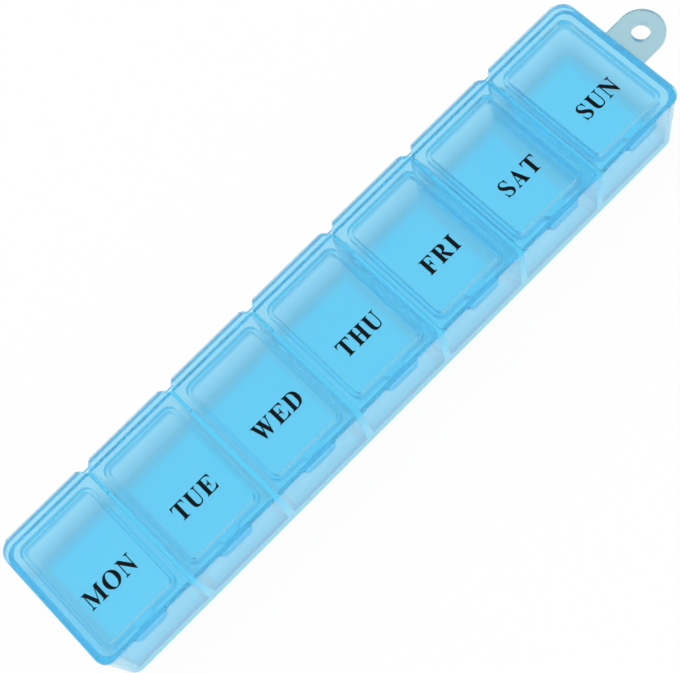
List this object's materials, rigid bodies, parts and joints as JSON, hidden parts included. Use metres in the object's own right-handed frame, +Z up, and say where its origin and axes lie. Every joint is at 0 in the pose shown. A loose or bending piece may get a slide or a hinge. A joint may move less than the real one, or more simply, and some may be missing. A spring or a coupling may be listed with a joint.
{
  "type": "weekly pill organiser",
  "caption": "One-row weekly pill box: a translucent compartment tray with snap lids on living hinges along the back, thumb tabs at the front and a hang tab at one end.",
  "frame": {"origin": "centre of the tray's flat underside", "axes": "+X from the Monday end to the Sunday end and its hang tab, +Y from the thumb tabs to the hinges, +Z up through the lids"},
  "size_m": [0.1596, 0.0323, 0.02],
  "materials": {
    "tray_plastic": "translucent blue moulded polypropylene, satin",
    "lid_plastic": "translucent blue moulded polypropylene, satin",
    "film_plastic": "thin flexed translucent polypropylene, satin",
    "tab_plastic": "thin translucent moulded polypropylene, satin",
    "print_ink": "black pad-printed ink, matte"
  },
  "bodies": {
    "tray": {"tray": "tray_plastic", "hang_tab": "tab_plastic", "hinge_monday": "film_plastic", "hinge_tuesday": "film_plastic", "hinge_wednesday": "film_plastic", "hinge_thursday": "film_plastic", "hinge_friday": "film_plastic", "hinge_saturday": "film_plastic", "hinge_sunday": "film_plastic"},
    "lid_monday": {"lid_monday": "lid_plastic"},
    "lid_tuesday": {"lid_tuesday": "lid_plastic"},
    "lid_wednesday": {"lid_wednesday": "lid_plastic"},
    "lid_thursday": {"lid_thursday": "lid_plastic"},
    "lid_friday": {"lid_friday": "lid_plastic"},
    "lid_saturday": {"lid_saturday": "lid_plastic"},
    "lid_sunday": {"lid_sunday": "lid_plastic"}
  },
  "joints": [
    {"name": "monday_hinge", "type": "hinge", "parent": "tray", "child": "lid_monday", "pos_m": [-0.0636, 0.0165, 0.01883], "axis": [-1, 0, 0], "range_deg": [0, 175], "deforming": ["hinge_monday"]},
    {"name": "tuesday_hinge", "type": "hinge", "parent": "tray", "child": "lid_tuesday", "pos_m": [-0.0424, 0.0165, 0.01883], "axis": [-1, 0, 0], "range_deg": [0, 175], "deforming": ["hinge_tuesday"]},
    {"name": "wednesday_hinge", "type": "hinge", "parent": "tray", "child": "lid_wednesday", "pos_m": [-0.0212, 0.0165, 0.01883], "axis": [-1, 0, 0], "range_deg": [0, 175], "deforming": ["hinge_wednesday"]},
    {"name": "thursday_hinge", "type": "hinge", "parent": "tray", "child": "lid_thursday", "pos_m": [0, 0.0165, 0.01883], "axis": [-1, 0, 0], "range_deg": [0, 175], "deforming": ["hinge_thursday"]},
    {"name": "friday_hinge", "type": "hinge", "parent": "tray", "child": "lid_friday", "pos_m": [0.0212, 0.0165, 0.01883], "axis": [-1, 0, 0], "range_deg": [0, 175], "deforming": ["hinge_friday"]},
    {"name": "saturday_hinge", "type": "hinge", "parent": "tray", "child": "lid_saturday", "pos_m": [0.0424, 0.0165, 0.01883], "axis": [-1, 0, 0], "range_deg": [0, 175], "deforming": ["hinge_saturday"]},
    {"name": "sunday_hinge", "type": "hinge", "parent": "tray", "child": "lid_sunday", "pos_m": [0.0636, 0.0165, 0.01883], "axis": [-1, 0, 0], "range_deg": [0, 175], "deforming": ["hinge_sunday"]}
  ]
}
